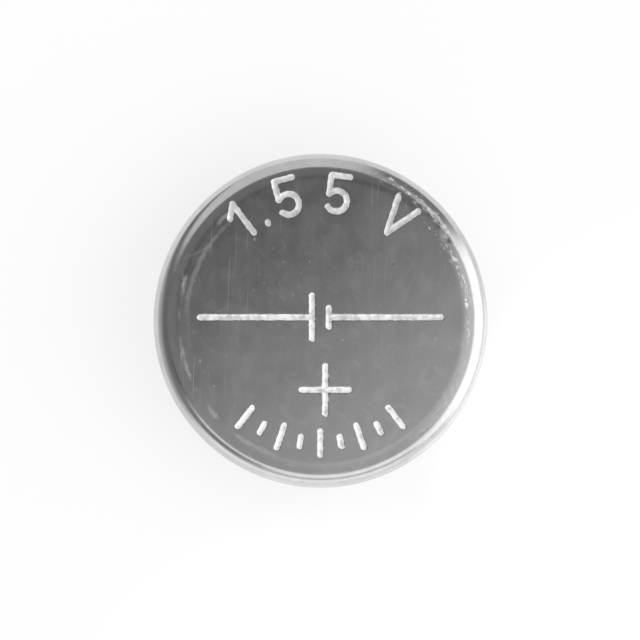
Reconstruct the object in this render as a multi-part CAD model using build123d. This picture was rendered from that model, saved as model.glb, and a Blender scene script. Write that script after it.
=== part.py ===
from build123d import *
import os
from math import acos, degrees, radians, tan

# Silver oxide button cell, in millimetres.
#
# The origin is the centre of the negative cap's outer face, and +Z is the axis of
# the cell, out through the positive face. Seen from +Z the stamped marks read
# upright with +Y up. Nearly every piece is a body of revolution, so it is drawn as
# a half section, radius across and height up, and turned about the axis.

# The whole cell
cell_diameter = 6.8
cell_height = 2.6

# Positive can: a drawn cup of nickel-plated steel, its open edge crimped inward
can_sheet = 0.18
can_corner = 0.35            # outside radius between the face and the wall
crimp_radius = 0.40          # outside radius between the wall and the crimped lip
lip_reach = 0.65             # how far the lip reaches in from the outside wall
lip_rise = 15.0              # degrees that the lip climbs towards its tip
lip_clear = 0.22             # height of the crimp's lowest point above the cap's face
border_width = 0.53          # coined border round the positive face
border_step = 0.012          # how far the border lies below the face
border_ramp = 0.06           # width of the slope between the two

# Negative cap: a drawn cup with a stepped neck and a skirt folded back on itself
cap_sheet = 0.21
cap_corner = 0.25            # outside radius round the contact face
cap_bend = 0.06              # inside radius of both bends at the shoulder
shoulder_flat = 0.02         # straight part between those bends
neck_height = 0.55           # contact face to the underside of the shoulder
fold_gap = 0.03              # slit between the folded leaves
skirt_lift = 0.16            # edge of the skirt above the underside of the shoulder

# Sealing gasket: an injection-moulded nylon ring squeezed by the crimp
gasket_wall = 0.27           # between the skirt and the can's wall
gasket_foot = 0.17           # under the fold
foot_overlap = 0.16          # how far the foot reaches in past the inner leaf
foot_rim = 0.12              # height of the foot's rim beside the fold
gasket_recess = 0.25         # visible edge of the gasket above the cap's face

# What the cell holds
pellet_height = 0.68
pellet_edge = 0.02           # spare room round the pellet's bevelled edge
sleeve_sheet = 0.10
sleeve_corner = 0.15         # outside radius of the sleeve's bend
flange_width = 0.50
film_height = 0.06
film_clearance = 0.05        # between the film's edge and the can's wall
absorbent_height = 0.25

# Stamped marks on the positive face: grooves with sloping sides
groove_width = 0.12
groove_depth = 0.03
groove_floor = 0.03          # width of the flat at the bottom
plus_size = 1.08
plus_place = (0.10, -1.40)
letter_height = 0.85
letter_width = 0.50
letter_radius = 2.60         # middle of the letters on the upper arc
flag_size = 0.22             # flag of the figure 1
bowl_radius = 0.21           # bowl of the figure 5
bowl_end = -140.0            # degrees from the right, where that bowl stops
letter_span = 74.0           # degrees from the first letter's middle to the last's
letter_steps = (0.0, 0.12, 0.18, 0.31, 0.39)     # shares of the span between middles
point_size = 0.14
symbol_width = 5.00
symbol_place = 0.07          # height of the symbol above the face's centre
long_plate = 1.00
short_plate = 0.50
plate_gap = 0.34
tick_count = 9
tick_pitch = 9.5             # degrees between ticks
tick_radius = 2.48           # middle of the long ticks on the lower arc
tick_height = 0.60
short_tick = 0.32

# Radii that follow from the wall inward
can_radius = cell_diameter / 2
can_bore = can_radius - can_sheet
skirt_radius = can_bore - gasket_wall
slit_outer = skirt_radius - cap_sheet
slit_inner = slit_outer - fold_gap
leaf_bore = slit_inner - cap_sheet
neck_radius = slit_inner - 2 * cap_bend - cap_sheet - shoulder_flat
foot_radius = leaf_bore - foot_overlap
pellet_radius = can_bore - sleeve_sheet
window_radius = can_bore - flange_width

# Heights that follow from the positive face down
base_height = cell_height - can_sheet
corner_start = cell_height - can_corner
pellet_bottom = base_height - pellet_height
flange_bottom = pellet_bottom - sleeve_sheet
film_bottom = flange_bottom - film_height
absorbent_bottom = film_bottom - absorbent_height
fold_top = film_bottom - gasket_foot
rim_bottom = fold_top - foot_rim
skirt_edge = neck_height + skirt_lift

# The lip, as a line that climbs from below the wall's foot to the tip
lip_angle = radians(lip_rise)
bend_setback = crimp_radius / tan((radians(90) - lip_angle) / 2)
lip_start = lip_clear + crimp_radius - bend_setback
tip_radius = can_radius - lip_reach
tip_height = lip_start + lip_reach * tan(lip_angle)


def area(*corners):
    """Flat face with straight edges through the given corners."""
    return make_face(Polyline(*corners, close=True))


def block(inner, outer, bottom, top):
    """Rectangle of a half section between two radii and two heights."""
    return area((inner, bottom), (outer, bottom), (outer, top), (inner, top))


def sheet(surface, thickness, side):
    """Section of formed sheet metal, from the line of its outer surface."""
    return Face(surface.offset_2d(thickness, side=side, closed=True))


def turned(section):
    """Body of revolution from a half section."""
    return revolve(Plane.XZ * section, Axis.Z)


def can_surface():
    """Outer line of the can, from the face's centre to the tip of its lip."""
    corners = [
        (0, cell_height),
        (can_radius, cell_height),
        (can_radius, lip_start),
        (tip_radius, tip_height),
    ]
    return FilletPolyline(*corners, radius=(can_corner, crimp_radius)).wire()


def can_section():
    """Half section of the can, with the border round its face coined down."""
    border = can_radius - border_width
    floor = cell_height - border_step
    coined = area(
        (border, cell_height),
        (border + border_ramp, floor),
        (can_radius, floor),
        (can_radius, cell_height),
    )
    return sheet(can_surface(), can_sheet, Side.RIGHT) - coined


def cap_surface():
    """Outer line of the cap: face, neck, shoulder and inner leaf up to the fold."""
    corners = [
        (0, 0),
        (neck_radius, 0),
        (neck_radius, neck_height),
        (slit_inner, neck_height),
        (slit_inner, fold_top - cap_sheet - fold_gap / 2),
    ]
    return FilletPolyline(*corners, radius=(cap_corner, cap_bend, cap_bend + cap_sheet))


def cap_section():
    """Half section of the cap, with its fold and the skirt that hangs from it."""
    rise = cap_surface()
    fold = JernArc(rise @ 1, rise % 1, fold_gap / 2, -180)
    skirt = Line(fold @ 1, (slit_outer, skirt_edge))
    return sheet(Wire([*rise.edges(), *fold.edges(), *skirt.edges()]), cap_sheet, Side.LEFT)


def sleeve_section():
    """Half section of the cathode sleeve: a flange and a wall that lines the can."""
    corners = [(window_radius, flange_bottom), (can_bore, flange_bottom), (can_bore, corner_start)]
    return sheet(FilletPolyline(*corners, radius=sleeve_corner).wire(), sleeve_sheet, Side.LEFT)


def pellet_section():
    """Half section of the cathode pellet: it fills the sleeve and its window."""
    bevel = max(can_corner - can_sheet - sleeve_sheet, 0) + pellet_edge
    body = area(
        (0, flange_bottom),
        (window_radius, flange_bottom),
        (window_radius, pellet_bottom),
        (pellet_radius, pellet_bottom),
        (pellet_radius, base_height - bevel),
        (pellet_radius - bevel, base_height),
        (0, base_height),
    )
    return body - sleeve_section()


def anode_section():
    """Half section of the anode: it fills the cap up to the gasket's foot."""
    rise = cap_surface()
    lid = Polyline(rise @ 1, (slit_inner, absorbent_bottom), (0, absorbent_bottom), (0, 0))
    full = make_face([*rise.edges(), *lid.edges()])
    foot = block(foot_radius, can_bore, rim_bottom, film_bottom)
    return full - foot - cap_section()


def gasket_section():
    """Half section of the gasket: it fills what the crimp leaves round the cap."""
    surface = can_surface()
    mouth = Polyline(surface @ 1, (tip_radius, gasket_recess), (0, gasket_recess), (0, cell_height))
    full = make_face([*surface.edges(), *mouth.edges()])
    held = full & block(0, can_radius, 0, film_bottom)
    slit = block(slit_inner, slit_outer, skirt_edge, fold_top - cap_sheet)
    absorbent = block(0, foot_radius, absorbent_bottom, film_bottom)
    return held - can_section() - cap_section() - slit - anode_section() - absorbent


def disc(radius, bottom, height):
    """Flat round piece on the axis."""
    return Pos(0, 0, bottom) * extrude(Circle(radius), amount=height)


def straight(start, end):
    """Middle line of a straight stroke."""
    return Edge.make_line(start, end)


def placed(place, lines):
    """The same strokes, moved or turned on the face."""
    return [place * line for line in lines]


def letter_one():
    """Figure 1: a stem and a flag."""
    half = (letter_height - groove_width) / 2
    return [
        straight((0, -half), (0, half)),
        straight((0, half), (-flag_size, half - flag_size)),
    ]


def letter_point():
    """Decimal point on the letters' base line."""
    half = (letter_height - groove_width) / 2
    return [straight((0, -half), (0, -half + point_size - groove_width))]


def letter_five():
    """Figure 5: a bar, a short stem and a bowl."""
    half = (letter_height - groove_width) / 2
    side = (letter_width - groove_width) / 2
    bowl_start = degrees(acos(max(1 - 2 * side / bowl_radius, -1)))
    centre = Plane((side - bowl_radius, bowl_radius - half))
    curve = Edge.make_circle(bowl_radius, centre, bowl_end, bowl_start)
    return [
        straight((-side, half), (side, half)),
        straight((-side, half), curve.end_point()),
        curve,
    ]


def letter_v():
    """Letter V: two leaning stems."""
    half = (letter_height - groove_width) / 2
    side = letter_width / 2
    return [straight((-side, half), (0, -half)), straight((0, -half), (side, half))]


def voltage_mark():
    """Nominal voltage in figures along the upper arc."""
    letters = [letter_one, letter_point, letter_five, letter_five, letter_v]
    lines = []
    turn = -letter_span / 2
    for letter, step in zip(letters, letter_steps):
        turn += step * letter_span
        lines += placed(Rot(0, 0, -turn) * Pos(0, letter_radius), letter())
    return lines


def cell_symbol():
    """Circuit symbol of one cell: a lead, a long plate, a short plate and a lead."""
    end = (symbol_width - groove_width) / 2
    gap = plate_gap / 2
    long_end = (long_plate - groove_width) / 2
    short_end = (short_plate - groove_width) / 2
    lines = [
        straight((-end, 0), (-gap, 0)),
        straight((-gap, -long_end), (-gap, long_end)),
        straight((gap, -short_end), (gap, short_end)),
        straight((gap, 0), (end, 0)),
    ]
    return placed(Pos(0, symbol_place), lines)


def plus_mark():
    """Plus sign of the positive terminal."""
    arm = (plus_size - groove_width) / 2
    lines = [straight((-arm, 0), (arm, 0)), straight((0, -arm), (0, arm))]
    return placed(Pos(*plus_place), lines)


def tick_row():
    """Row of radial ticks along the lower arc, long and short in turn."""
    lines = []
    for number in range(tick_count):
        half = (tick_height if number % 2 == 0 else short_tick) / 2 - groove_width / 2
        turn = Rot(0, 0, (number - (tick_count - 1) / 2) * tick_pitch)
        lines += placed(turn * Pos(0, -tick_radius), [straight((0, -half), (0, half))])
    return lines


def groove(line):
    """Body cut away along one stroke: wide at the face, narrow at its floor."""
    mouth = Pos(0, 0, cell_height) * SlotArc(line, groove_width)
    floor = Pos(0, 0, cell_height - groove_depth) * SlotArc(line, groove_floor)
    return loft([mouth.face(), floor.face()], ruled=True)


def positive_can():
    """The can, with the marks pressed into its face."""
    lines = voltage_mark() + cell_symbol() + plus_mark() + tick_row()
    return turned(can_section()) - [groove(line) for line in lines]


def save(name, piece):
    """Write one piece to its own file."""
    export_step(piece, os.path.join("parts", name + ".step"))
    print(name, len(piece.solids()), "solid,", round(piece.volume, 3), "mm3")


os.makedirs("parts", exist_ok=True)
save("positive_can", positive_can())
save("negative_cap", turned(cap_section()))
save("sealing_gasket", turned(gasket_section()))
save("cathode_pellet", turned(pellet_section()))
save("cathode_sleeve", turned(sleeve_section()))
save("barrier_film", disc(can_bore - film_clearance, film_bottom, film_height))
save("absorbent_disc", disc(foot_radius, absorbent_bottom, absorbent_height))
save("zinc_anode", turned(anode_section()))
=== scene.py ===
# %% [markdown]
# # A silver oxide button cell
#
# A watch cell is 6.8 mm across and 2.6 mm high: a steel can, crimped at its open edge over a nylon
# gasket, with the negative cap in its mouth. This lesson dresses the imported model of one for a
# picture from straight above its positive face. The model comes first, because it fixes every size
# and place.

# %% The imported model
import math

import bpy
import numpy as np
from mathutils.geometry import delaunay_2d_cdt
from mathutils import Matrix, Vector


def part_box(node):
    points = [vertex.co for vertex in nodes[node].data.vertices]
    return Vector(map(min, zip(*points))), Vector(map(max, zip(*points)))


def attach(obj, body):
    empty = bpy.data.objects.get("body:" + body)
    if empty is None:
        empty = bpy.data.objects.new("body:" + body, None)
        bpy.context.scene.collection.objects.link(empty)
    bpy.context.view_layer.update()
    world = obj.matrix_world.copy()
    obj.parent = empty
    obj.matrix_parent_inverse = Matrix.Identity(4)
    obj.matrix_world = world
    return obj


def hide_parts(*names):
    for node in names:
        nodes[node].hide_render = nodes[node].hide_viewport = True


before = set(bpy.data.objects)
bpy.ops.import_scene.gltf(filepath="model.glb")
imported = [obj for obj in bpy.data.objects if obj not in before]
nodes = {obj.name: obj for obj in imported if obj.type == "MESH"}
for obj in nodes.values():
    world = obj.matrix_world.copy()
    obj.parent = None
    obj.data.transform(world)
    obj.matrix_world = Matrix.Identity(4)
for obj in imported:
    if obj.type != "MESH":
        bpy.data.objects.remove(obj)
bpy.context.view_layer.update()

MM = 0.001
print("nodes:", ", ".join(sorted(nodes)))

# %% [markdown]
# ## Sizes
#
# Blender works in metres, and a cell is easier to think of in millimetres, so every shape below is
# drawn in millimetres and shrunk once, when its mesh is made. The outside sizes are read from the
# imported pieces. The rest are the sheet sizes and bends that the cell is made with.

# %% Sizes read from the model, and the bends between them
def reach(node):
    """Lowest height, highest height and radius of a round piece, in millimetres."""
    low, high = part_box(node)
    return low.z / MM, high.z / MM, high.x / MM


lip_clear, cell_height, can_radius = reach("positive_can")
_, fold_top, skirt_radius = reach("negative_cap")
gasket_recess, gasket_top, can_bore = reach("sealing_gasket")

can_sheet = can_radius - can_bore
can_corner = 0.35
crimp_radius = 0.40
lip_reach = 0.65
lip_slope = math.radians(15)
border_width = 0.53
border_slope = math.radians(5.5)

cap_sheet = 0.21
cap_corner = 0.25
cap_bend = 0.06
shoulder_flat = 0.02
neck_height = 0.55
fold_gap = 0.03
skirt_edge = 0.71
foot_radius = 2.34
foot_rim = 0.12
print("can", can_radius, "cap", skirt_radius, "sheet", round(can_sheet, 3), "mm")

# %% [markdown]
# ## Turned pieces
#
# The can, the cap and the gasket are all round, so each is a half section turned about the axis.
# Blender's Screw modifier could turn a curve too. Here the section is a list of points, because the
# can's face has to be joined to its rim point by point. A section is drawn with its material on
# the left of the pen, and then every face of the turned mesh looks outwards.

# %% Rounded lines
TURNS = 480
ARC_STEP = math.radians(4)
FEWEST_RUNS = 3
SHORTEST_RUN = 0.008
LONGEST_RUN = 0.25
TINY = 1e-6


def arc_steps(turn, radius):
    """How many straight runs an arc is divided into: few where it is tiny, but three at least."""
    by_angle = abs(turn) / ARC_STEP
    by_length = abs(turn) * radius / SHORTEST_RUN
    return max(FEWEST_RUNS, math.ceil(min(by_angle, by_length)))


def rounded_line(corners, radii):
    """Points along a line through the corners, with each inner corner rounded."""
    corners = [np.array(corner, float) for corner in corners]
    points = [corners[0]]
    for before, corner, after, radius in zip(corners, corners[1:], corners[2:], radii):
        back = (before - corner) / np.linalg.norm(before - corner)
        ahead = (after - corner) / np.linalg.norm(after - corner)
        half = math.acos(float(back @ ahead)) / 2
        centre = corner + (back + ahead) / np.linalg.norm(back + ahead) * radius / math.sin(half)
        start = corner + back * radius / math.tan(half) - centre
        left = back[1] * ahead[0] - back[0] * ahead[1] > 0
        turn = (math.pi - 2 * half) * (1 if left else -1)
        for angle in np.linspace(0, turn, arc_steps(turn, radius) + 1):
            c, s = math.cos(angle), math.sin(angle)
            points.append(centre + (c * start[0] - s * start[1], s * start[0] + c * start[1]))
    return points + [corners[-1]]


def arc(centre, radius, first, last):
    """Points of an arc between two angles in degrees."""
    first, last = math.radians(first), math.radians(last)
    angles = np.linspace(first, last, 1 + arc_steps(last - first, radius))
    return [np.array((centre[0] + radius * math.cos(a), centre[1] + radius * math.sin(a))) for a in angles]


def stepped(points):
    """The same line, with its long straight runs divided."""
    line = [points[0]]
    for point in points[1:]:
        length = np.linalg.norm(point - line[-1])
        if length < TINY:
            continue
        steps = max(1, math.ceil(length / LONGEST_RUN))
        line += [line[-1] + (point - line[-1]) * k / steps for k in range(1, steps + 1)]
    return line


# %% Turning a section
def turned(section, closed=False):
    """Vertices, faces and rows of a section turned about the axis."""
    angles = np.arange(TURNS) * 2 * math.pi / TURNS
    ring = np.column_stack((np.cos(angles), np.sin(angles)))
    vertices, rows, faces = [], [], []
    for radius, height in section:
        first = len(vertices)
        if radius < TINY:
            vertices.append((0.0, 0.0, height))
        else:
            vertices += [(radius * x, radius * y, height) for x, y in ring]
        rows.append(range(first, len(vertices)))
    for low, high in zip(rows, rows[1:] + rows[:1] if closed else rows[1:]):
        for here in range(TURNS):
            there = (here + 1) % TURNS
            if len(low) == 1:
                faces.append((low[0], high[there], high[here]))
            elif len(high) == 1:
                faces.append((low[here], low[there], high[0]))
            else:
                faces.append((low[here], low[there], high[there], high[here]))
    return vertices, faces, rows


def new_piece(name, vertices, faces, node):
    """A smooth mesh, drawn in millimetres, that stands for a CAD node."""
    mesh = bpy.data.meshes.new(name)
    mesh.from_pydata([tuple(c * MM for c in v) for v in vertices], [], faces)
    mesh.validate()
    mesh.shade_smooth()
    piece = bpy.data.objects.new(name, mesh)
    bpy.context.scene.collection.objects.link(piece)
    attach(piece, "root")
    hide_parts(node)
    print(name, len(mesh.vertices), "vertices,", sum(len(p.vertices) - 2 for p in mesh.polygons), "triangles")
    return piece


# %% [markdown]
# ## The stamped marks
#
# A press stamps the voltage, the circuit symbol of a cell, a plus sign and a row of ticks into the
# positive face. A stroke is a groove that follows a straight line or a bow. Cutting them with
# booleans would leave hard edges, and a displaced grid would leave steps, so the face's mesh is
# laid out along the strokes: rows of points keep the same distance from them, which gives every
# groove a rounded mouth, a sloping side and a smooth floor. Places on the face are complex numbers
# here, because turning a stroke is then one multiplication.

# %% Strokes
groove_width = 0.12
groove_depth = 0.03


def straight(start, end):
    """A straight stroke between two places."""
    return {"start": start, "end": end}


def bow(centre, radius, first, last):
    """A curved stroke round a centre, from one angle to another."""
    return {"centre": centre, "radius": radius, "first": math.radians(first), "last": math.radians(last)}


def moved(strokes, turn, place=0):
    """The same strokes, turned about the origin by an angle in degrees and then moved."""
    spin = complex(math.cos(math.radians(turn)), math.sin(math.radians(turn)))
    out = []
    for stroke in strokes:
        new = dict(stroke)
        for key in ("start", "end", "centre"):
            if key in new:
                new[key] = new[key] * spin + place
        for key in ("first", "last"):
            if key in new:
                new[key] += math.radians(turn)
        out.append(new)
    return out


# %% Figures of the voltage
letter_height = 0.85
letter_width = 0.50
letter_radius = 2.60
letter_span = 74
letter_steps = (0.0, 0.12, 0.18, 0.31, 0.39)
flag_size = 0.22
bowl_radius = 0.21
bowl_end = -140
point_size = 0.14
half = (letter_height - groove_width) / 2
side = (letter_width - groove_width) / 2


def letter_one():
    """Figure 1: a stem and a flag."""
    return [straight(-1j * half, 1j * half), straight(1j * half, -flag_size + 1j * (half - flag_size))]


def letter_point():
    """Decimal point on the base line."""
    return [straight(-1j * half, 1j * (point_size - groove_width - half))]


def letter_five():
    """Figure 5: a bar, a short stem and a bowl."""
    centre = side - bowl_radius + 1j * (bowl_radius - half)
    rise = math.acos(max(1 - 2 * side / bowl_radius, -1))
    start = centre + bowl_radius * complex(math.cos(rise), math.sin(rise))
    return [
        straight(-side + 1j * half, side + 1j * half),
        straight(-side + 1j * half, start),
        bow(centre, bowl_radius, bowl_end, math.degrees(rise)),
    ]


def letter_v():
    """Letter V: two leaning stems."""
    foot = -1j * half
    return [straight(-letter_width / 2 + 1j * half, foot), straight(foot, letter_width / 2 + 1j * half)]


def voltage_mark():
    """Nominal voltage along the upper arc."""
    strokes, turn = [], -letter_span / 2
    for letter, step in zip((letter_one, letter_point, letter_five, letter_five, letter_v), letter_steps):
        turn += step * letter_span
        strokes += moved(moved(letter(), 0, 1j * letter_radius), -turn)
    return strokes


# %% Symbol, plus sign and ticks
symbol_width = 5.0
symbol_place = 0.07j
long_plate = 1.0
short_plate = 0.5
plate_gap = 0.34
plus_size = 1.08
plus_place = 0.10 - 1.40j
tick_count = 9
tick_pitch = 9.5
tick_radius = 2.48
long_tick = 0.60
short_tick = 0.32


def cell_symbol():
    """Circuit symbol of one cell: a lead, a long plate, a short plate and a lead."""
    end, gap = (symbol_width - groove_width) / 2, plate_gap / 2
    tall, low = 1j * (long_plate - groove_width) / 2, 1j * (short_plate - groove_width) / 2
    strokes = [
        straight(-end, -gap),
        straight(-gap - tall, -gap + tall),
        straight(gap - low, gap + low),
        straight(gap, end),
    ]
    return moved(strokes, 0, symbol_place)


def plus_mark():
    """Plus sign of the positive terminal."""
    arm = (plus_size - groove_width) / 2
    return moved([straight(-arm, arm), straight(-1j * arm, 1j * arm)], 0, plus_place)


def tick_row():
    """Row of ticks along the lower arc, long and short in turn."""
    strokes = []
    for number in range(tick_count):
        arm = 1j * ((short_tick if number % 2 else long_tick) - groove_width) / 2
        tick = [straight(-arm - 1j * tick_radius, arm - 1j * tick_radius)]
        strokes += moved(tick, (number - (tick_count - 1) / 2) * tick_pitch)
    return strokes


strokes = voltage_mark() + cell_symbol() + plus_mark() + tick_row()
print(len(strokes), "strokes")


# %% Distance from a stroke, and the outline that keeps one distance
def distance(places, stroke):
    """How far each place lies from the middle of a stroke."""
    if "radius" in stroke:
        middle = (stroke["first"] + stroke["last"]) / 2
        centre, radius = stroke["centre"], stroke["radius"]
        swung = np.angle((places - centre) * np.exp(-1j * middle))
        inside = np.abs(swung) <= (stroke["last"] - stroke["first"]) / 2
        ends = [centre + radius * np.exp(1j * stroke[key]) for key in ("first", "last")]
        beyond = np.minimum(np.abs(places - ends[0]), np.abs(places - ends[1]))
        return np.where(inside, np.abs(np.abs(places - centre) - radius), beyond)
    along = stroke["end"] - stroke["start"]
    share = ((places - stroke["start"]) * np.conj(along)).real / abs(along) ** 2
    return np.abs(places - stroke["start"] - np.clip(share, 0, 1) * along)


ROW_STEP = 0.028
CAP_STEPS = 8


def outline(stroke, apart):
    """Closed row of places that lie the same distance from a stroke."""
    cap = np.exp(1j * np.linspace(0, math.pi, CAP_STEPS + 1)[1:-1])
    if "radius" in stroke:
        centre, radius = stroke["centre"], stroke["radius"]
        sweep = stroke["last"] - stroke["first"]
        steps = math.ceil(sweep * (radius + apart) / ROW_STEP)
        angles = np.exp(1j * np.linspace(stroke["first"], stroke["last"], steps + 1))
        first, last = angles[0], angles[-1]
        return np.concatenate((
            centre + (radius + apart) * angles,
            centre + radius * last + apart * last * cap,
            centre + (radius - apart) * angles[::-1],
            centre + radius * first - apart * first * cap,
        ))
    along = stroke["end"] - stroke["start"]
    ahead = along / abs(along)
    steps = max(1, math.ceil(abs(along) / ROW_STEP))
    line = stroke["start"] + along * np.linspace(0, 1, steps + 1)
    return np.concatenate((
        line - 1j * ahead * apart,
        stroke["end"] - 1j * ahead * apart * cap,
        line[::-1] + 1j * ahead * apart,
        stroke["start"] + 1j * ahead * apart * cap,
    ))


# %% [markdown]
# ## Height of the face
#
# The face is flat in the middle. Its coined border falls away very gently and runs into the round
# corner without a break, because sheet can't be drawn with a sharp edge. The marks are pressed to
# one depth, and handling has left small dents near the edge. All of it is one function from a place
# to a height, so the mesh can be laid out first and lifted afterwards.

# %% Height of the plain can at any radius
border_start = can_radius - border_width
corner_centre = can_radius - can_corner
corner_foot = cell_height - can_corner
border_end = corner_centre + can_corner * math.sin(border_slope)
border_share = math.tan(border_slope) * (border_end - border_start) / (2 * can_corner)
corner_rise = can_corner / (math.cos(border_slope) + border_share)
border_drop = corner_rise * border_share


def brow(radius):
    """Flat, then falling gently along the border, then round the corner."""
    share = np.clip((radius - border_start) / (border_end - border_start), 0, 1)
    across = np.clip((radius - corner_centre) / can_corner, 0, 1)
    corner = corner_foot + corner_rise * np.sqrt(1 - across**2)
    return np.where(radius < border_end, cell_height - border_drop * share**2, corner)


print("the border falls", round(1000 * border_drop, 1), "micrometres")

# %% Height at any place on the face
mouth = 0.062
floor = 0.012
edge_wander = 0.009


def smooth(value, low, high):
    """Rises smoothly from 0 to 1 between two values."""
    share = np.clip((value - low) / (high - low), 0, 1)
    return share * share * (3 - 2 * share)


def wander(places):
    """A gentle unevenness between -1 and 1, with no random draw."""
    x, y = places.real, places.imag
    slow = np.sin(9.1 * x + 4.7 * y + 0.6) * np.sin(7.3 * y - 5.2 * x + 1.9)
    quick = np.sin(31.0 * x - 15.0 * y) * np.sin(27.0 * y + 11.0 * x + 2.4)
    return 0.4 * slow + 0.6 * quick


dents = [
    # azimuth in degrees, radius, length round the rim, width across it, depth
    (62.0, 3.06, 0.10, 0.020, 0.0030),
    (57.5, 3.04, 0.05, 0.030, 0.0040),
    (50.5, 3.06, 0.06, 0.028, 0.0055),
    (46.5, 3.10, 0.06, 0.035, 0.0060),
    (43.0, 3.13, 0.05, 0.030, 0.0055),
    (40.0, 3.09, 0.07, 0.030, 0.0050),
    (36.5, 3.12, 0.05, 0.030, 0.0050),
    (33.0, 3.06, 0.08, 0.030, 0.0035),
]


def dented(places):
    """Depth of the dents at each place."""
    depth = np.zeros(len(places))
    radius = np.maximum(np.abs(places), TINY)
    for azimuth, ring, length, width, deep in dents:
        swung = np.angle(places * np.exp(-1j * math.radians(azimuth)))
        depth += deep * np.exp(-((swung * radius / length) ** 2) - ((radius - ring) / width) ** 2)
    return depth


def from_strokes(places):
    """Distance to the nearest stroke's middle."""
    return np.min([distance(places, stroke) for stroke in strokes], axis=0)


def face_height(places):
    """Height of the face, its border, its marks and its dents, in millimetres."""
    plain = brow(np.abs(places))
    share = 1 - smooth(from_strokes(places) + edge_wander * wander(places), floor, mouth)
    pressed = cell_height - groove_depth
    return plain + share * (pressed - plain) - dented(places)


# %% [markdown]
# ## Mesh of the face
#
# The rows beside the strokes, the rings of the border and a loose honeycomb between them are given
# to Blender's Delaunay triangulation, which keeps the rows as edges. The outermost ring has the
# same points as the can's rim, so the two are one mesh in the end.

# %% Rows, rings and honeycomb
SEAM = 3.12
GROOVE_ROWS = (0.010, 0.020, 0.030, 0.040, 0.050, 0.060, 0.070, 0.084, 0.100)
ROW_SLACK = 1e-5
CLEAR = 0.115
HONEYCOMB = 0.07
FIRST_RING = 2.74
RING_STEP = 0.0234
RINGS = np.arange(FIRST_RING, SEAM - RING_STEP / 2, RING_STEP)


def ring_of(radius):
    """Places round the axis, one for each turned vertex."""
    return radius * np.exp(2j * math.pi * np.arange(TURNS) / TURNS)


def groove_rows():
    """Places beside every stroke, and the edges that link them."""
    places, edges = [], []
    for number, stroke in enumerate(strokes):
        for apart in GROOVE_ROWS:
            row = outline(stroke, apart)
            keep = np.ones(len(row), bool)
            for other, rival in enumerate(strokes):
                if other != number:
                    slack = ROW_SLACK if other < number else -ROW_SLACK
                    keep &= distance(row, rival) > apart + slack
            index = np.cumsum(keep) - 1 + len(places)
            after = np.roll(np.arange(len(row)), -1)
            edges += [(int(index[k]), int(index[n])) for k, n in enumerate(after) if keep[k] and keep[n]]
            places += list(row[keep])
    return places, edges


def honeycomb():
    """Evenly spread places inside the finest ring."""
    rows = np.arange(-SEAM, SEAM, HONEYCOMB * math.sqrt(3) / 2)
    places = []
    for number, y in enumerate(rows):
        shift = HONEYCOMB / 2 if number % 2 else 0
        places += [complex(x + shift, y) for x in np.arange(-SEAM, SEAM, HONEYCOMB)]
    places = np.array(places)
    return places[np.abs(places) < RINGS[0] - HONEYCOMB / 2]


seam = ring_of(SEAM)
rows, row_edges = groove_rows()
rings = [ring_of(radius) for radius in RINGS]
loose = np.concatenate([*rings, honeycomb()])
loose = loose[from_strokes(loose) > CLEAR]
places = np.concatenate([seam, np.array(rows), loose])
edges = [(k, (k + 1) % TURNS) for k in range(TURNS)]
edges += [(a + TURNS, b + TURNS) for a, b in row_edges]
print(len(rows), "places beside the strokes,", len(loose), "between them")

# %% Triangles between them
flat = [(place.real, place.imag) for place in places]
laid, _, triangles, origins, _, _ = delaunay_2d_cdt(flat, edges, [], 0, TINY, True)
laid = np.array([complex(*v) for v in laid])
face_heights = face_height(laid)
face_apart = from_strokes(laid)
seam_of = {number: k for k, found in enumerate(origins) for number in found if number < TURNS}
print("face:", len(laid), "vertices,", len(triangles), "triangles")

# %% [markdown]
# ## The positive can
#
# The can is drawn from nickel-plated steel strip: a flat face, a round corner, a straight wall, and
# the edge that a crimping tool has rolled inwards over the gasket. The section starts inside, at
# the middle of the face, goes down the bore, round the lip's sheared edge and up the outside to the
# coined border, where the mesh of the face takes over. So it is one closed shell, as sheet is.

# %% The can's section
lip_drop = math.tan(lip_slope)
bend_setback = crimp_radius / math.tan((math.pi / 2 - lip_slope) / 2)
lip_start = lip_clear + crimp_radius - bend_setback
tip_radius = can_radius - lip_reach
tip_height = lip_start + lip_reach * lip_drop
inner_tip = (tip_radius + can_sheet * math.sin(lip_slope), tip_height + can_sheet * math.cos(lip_slope))
bend_inside = lip_start + can_sheet * lip_drop + can_sheet / math.cos(lip_slope)
ceiling = cell_height - can_sheet
sheared = 0.03
CORNER_STEP = math.radians(2.5)


def can_section():
    """Half section of the can, from the inside of its face to the seam."""
    corners = [
        (0, ceiling),
        (can_bore, ceiling),
        (can_bore, bend_inside),
        inner_tip,
        (tip_radius, tip_height),
        (can_radius, lip_start),
        (can_radius, corner_foot),
    ]
    radii = (can_corner - can_sheet, crimp_radius - can_sheet, sheared, sheared, crimp_radius)
    line = rounded_line(corners, radii)
    last = math.acos((SEAM - corner_centre) / can_corner)
    for angle in np.linspace(0, last, 1 + math.ceil(last / CORNER_STEP))[1:]:
        across, up = can_corner * math.cos(angle), corner_rise * math.sin(angle)
        line.append(np.array((corner_centre + across, corner_foot + up)))
    return stepped(line)


# %% The can's mesh
vertices, faces, can_rows = turned(can_section())
rim = can_rows[-1]
numbers = []
for number, (place, height) in enumerate(zip(laid, face_heights)):
    if number in seam_of.values():
        numbers.append(None)
    else:
        numbers.append(len(vertices))
        vertices.append((place.real, place.imag, height))
for number, k in seam_of.items():
    numbers[k] = rim[number]
faces += [tuple(numbers[k] for k in triangle) for triangle in triangles]



def on_corner(vertex):
    """Whether a turned vertex lies on the outer corner, from the seam outwards."""
    return vertex[2] > corner_foot and math.hypot(*vertex[:2]) > SEAM - TINY


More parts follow.
